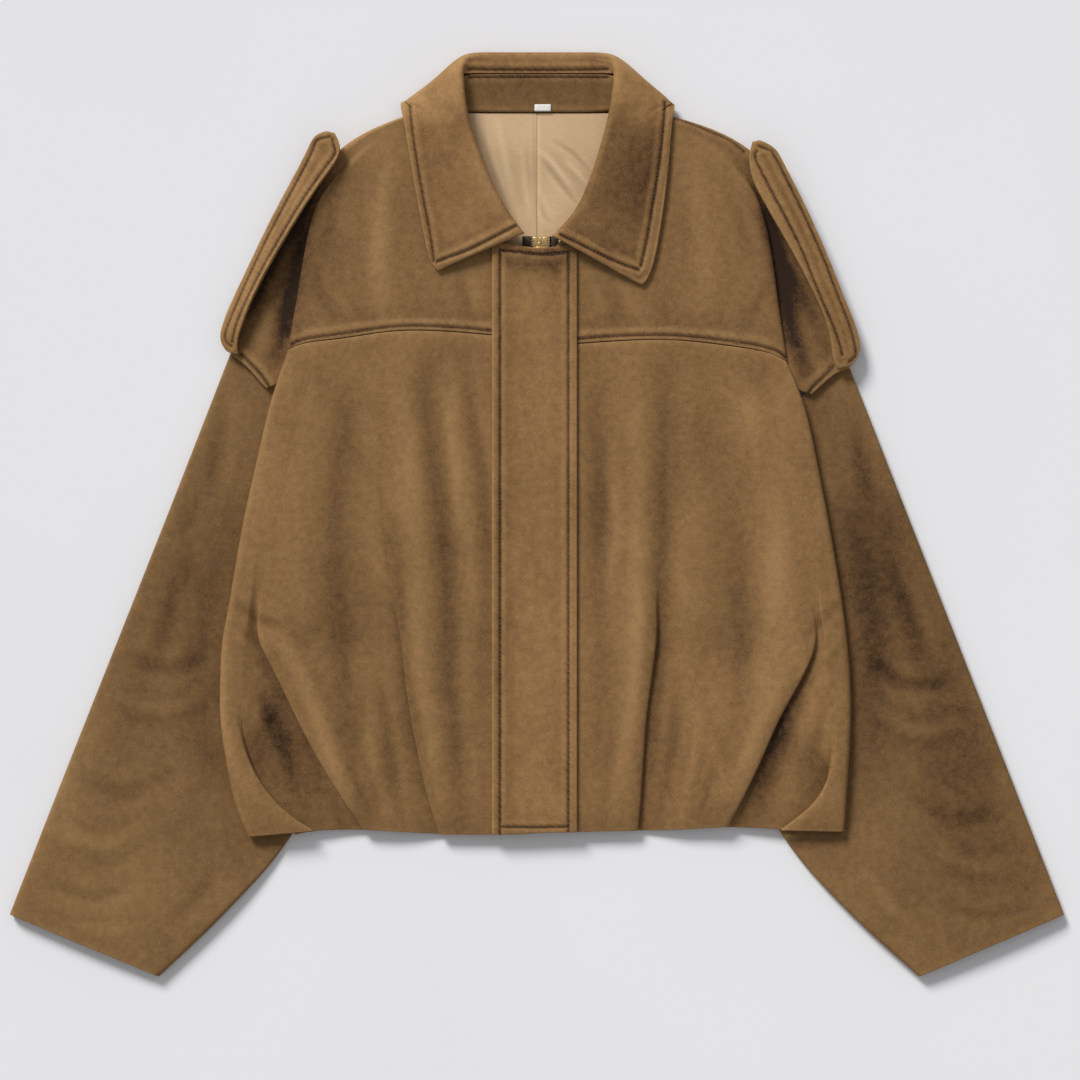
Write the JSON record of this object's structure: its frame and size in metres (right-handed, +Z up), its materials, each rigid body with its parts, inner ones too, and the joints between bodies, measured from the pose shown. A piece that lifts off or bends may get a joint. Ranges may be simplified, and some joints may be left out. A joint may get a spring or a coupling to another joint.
{
  "type": "suede jacket",
  "caption": "Short suede bomber jacket with a shirt collar, fly-front zip, shoulder straps and a tucked hem, laid flat on its back with its sleeves down.",
  "frame": {"origin": "middle of the jacket's outline on the surface it lies on", "axes": "+X to the right of the picture, +Y from hem to collar, +Z up from the surface, out of the front of the jacket"},
  "size_m": [0.8674, 0.7601, 0.0241],
  "materials": {
    "suede": "brown napped suede",
    "lining": "beige satin",
    "label": "plain white woven tape",
    "zip_tape": "dark brown woven tape",
    "brass": "polished gold-coloured metal"
  },
  "bodies": {
    "root": {"back": "suede", "front_left": "suede", "front_right": "suede", "yoke_left": "suede", "yoke_right": "suede", "sleeve_left": "suede", "sleeve_right": "suede", "placket": "suede", "collar_stand": "suede", "collar": "suede", "epaulette_left": "suede", "epaulette_right": "suede", "lining_left": "lining", "lining_right": "lining", "neck_label": "label", "zip_tape_left": "zip_tape", "zip_tape_right": "zip_tape", "zip_slider": "brass", "zip_pull": "brass"}
  },
  "joints": []
}
